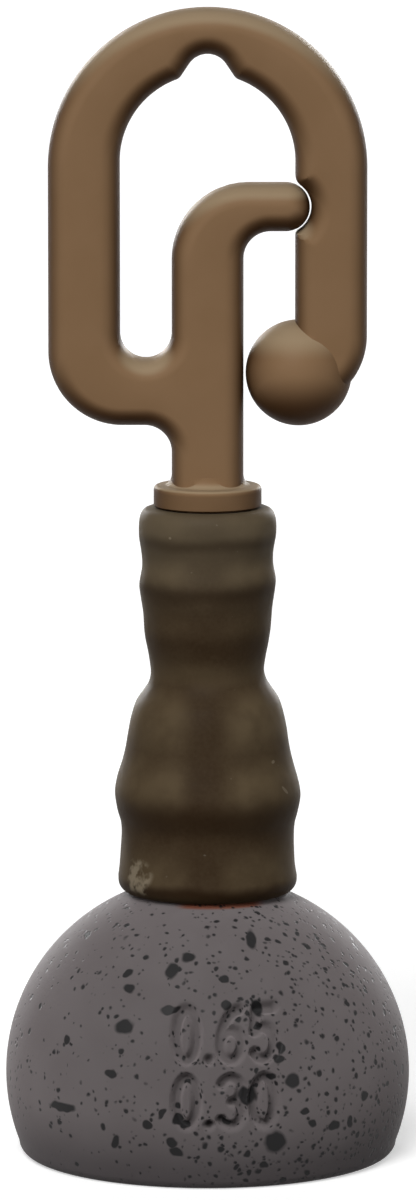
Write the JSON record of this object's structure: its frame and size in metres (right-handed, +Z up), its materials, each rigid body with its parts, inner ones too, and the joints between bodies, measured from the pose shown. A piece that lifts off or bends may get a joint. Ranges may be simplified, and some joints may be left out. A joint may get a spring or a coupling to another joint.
{
  "type": "clip-on anchor weight",
  "caption": "Dome-shaped lead anchor weight on a flat base, with a rubber sleeve, a swivel and a spring clip that hooks onto a cord.",
  "frame": {"origin": "middle of the flat base of the weight, on the surface that it stands on", "axes": "+Z up through the clip, +X towards the side of the clip that opens, the clip's flat face looks along Y"},
  "size_m": [0.0392, 0.0392, 0.1114],
  "materials": {
    "lead_paint": "matte mauve-grey paint with black flecks",
    "sleeve_rubber": "dull olive-brown",
    "clip_plastic": "satin moulded coyote brown",
    "steel_wire": "drawn stainless wire",
    "pin_steel": "plain stainless",
    "swivel_brass": "dull brass"
  },
  "bodies": {
    "weight": {"weight_casting": "lead_paint", "wire_eye": "steel_wire", "rubber_sleeve": "sleeve_rubber"},
    "link": {"swivel_lower_eye": "steel_wire"},
    "barrel": {"swivel_barrel": "swivel_brass"},
    "clip": {"swivel_upper_eye": "steel_wire", "clip_pin": "pin_steel", "clip_body": "clip_plastic"},
    "gate": {"gate_arm": "clip_plastic"}
  },
  "joints": [
    {"name": "neck_tilt", "type": "hinge", "parent": "weight", "child": "link", "pos_m": [0, 0, 0.04602], "axis": [0, 1, 0], "range_deg": [-25, 25], "stiffness_Nm_per_rad": 0.12, "deforming": ["rubber_sleeve"]},
    {"name": "barrel_spin", "type": "hinge", "parent": "link", "child": "barrel", "pos_m": [0, 0, 0.04932], "axis": [0, 0, 1], "continuous": true},
    {"name": "clip_swivel", "type": "hinge", "parent": "barrel", "child": "clip", "pos_m": [0, 0, 0.05412], "axis": [0, 0, 1], "continuous": true},
    {"name": "gate_flex", "type": "hinge", "parent": "clip", "child": "gate", "pos_m": [0, 0, 0.10922], "axis": [0, -1, 0], "range_deg": [0, 12], "stiffness_Nm_per_rad": 4.4}
  ]
}
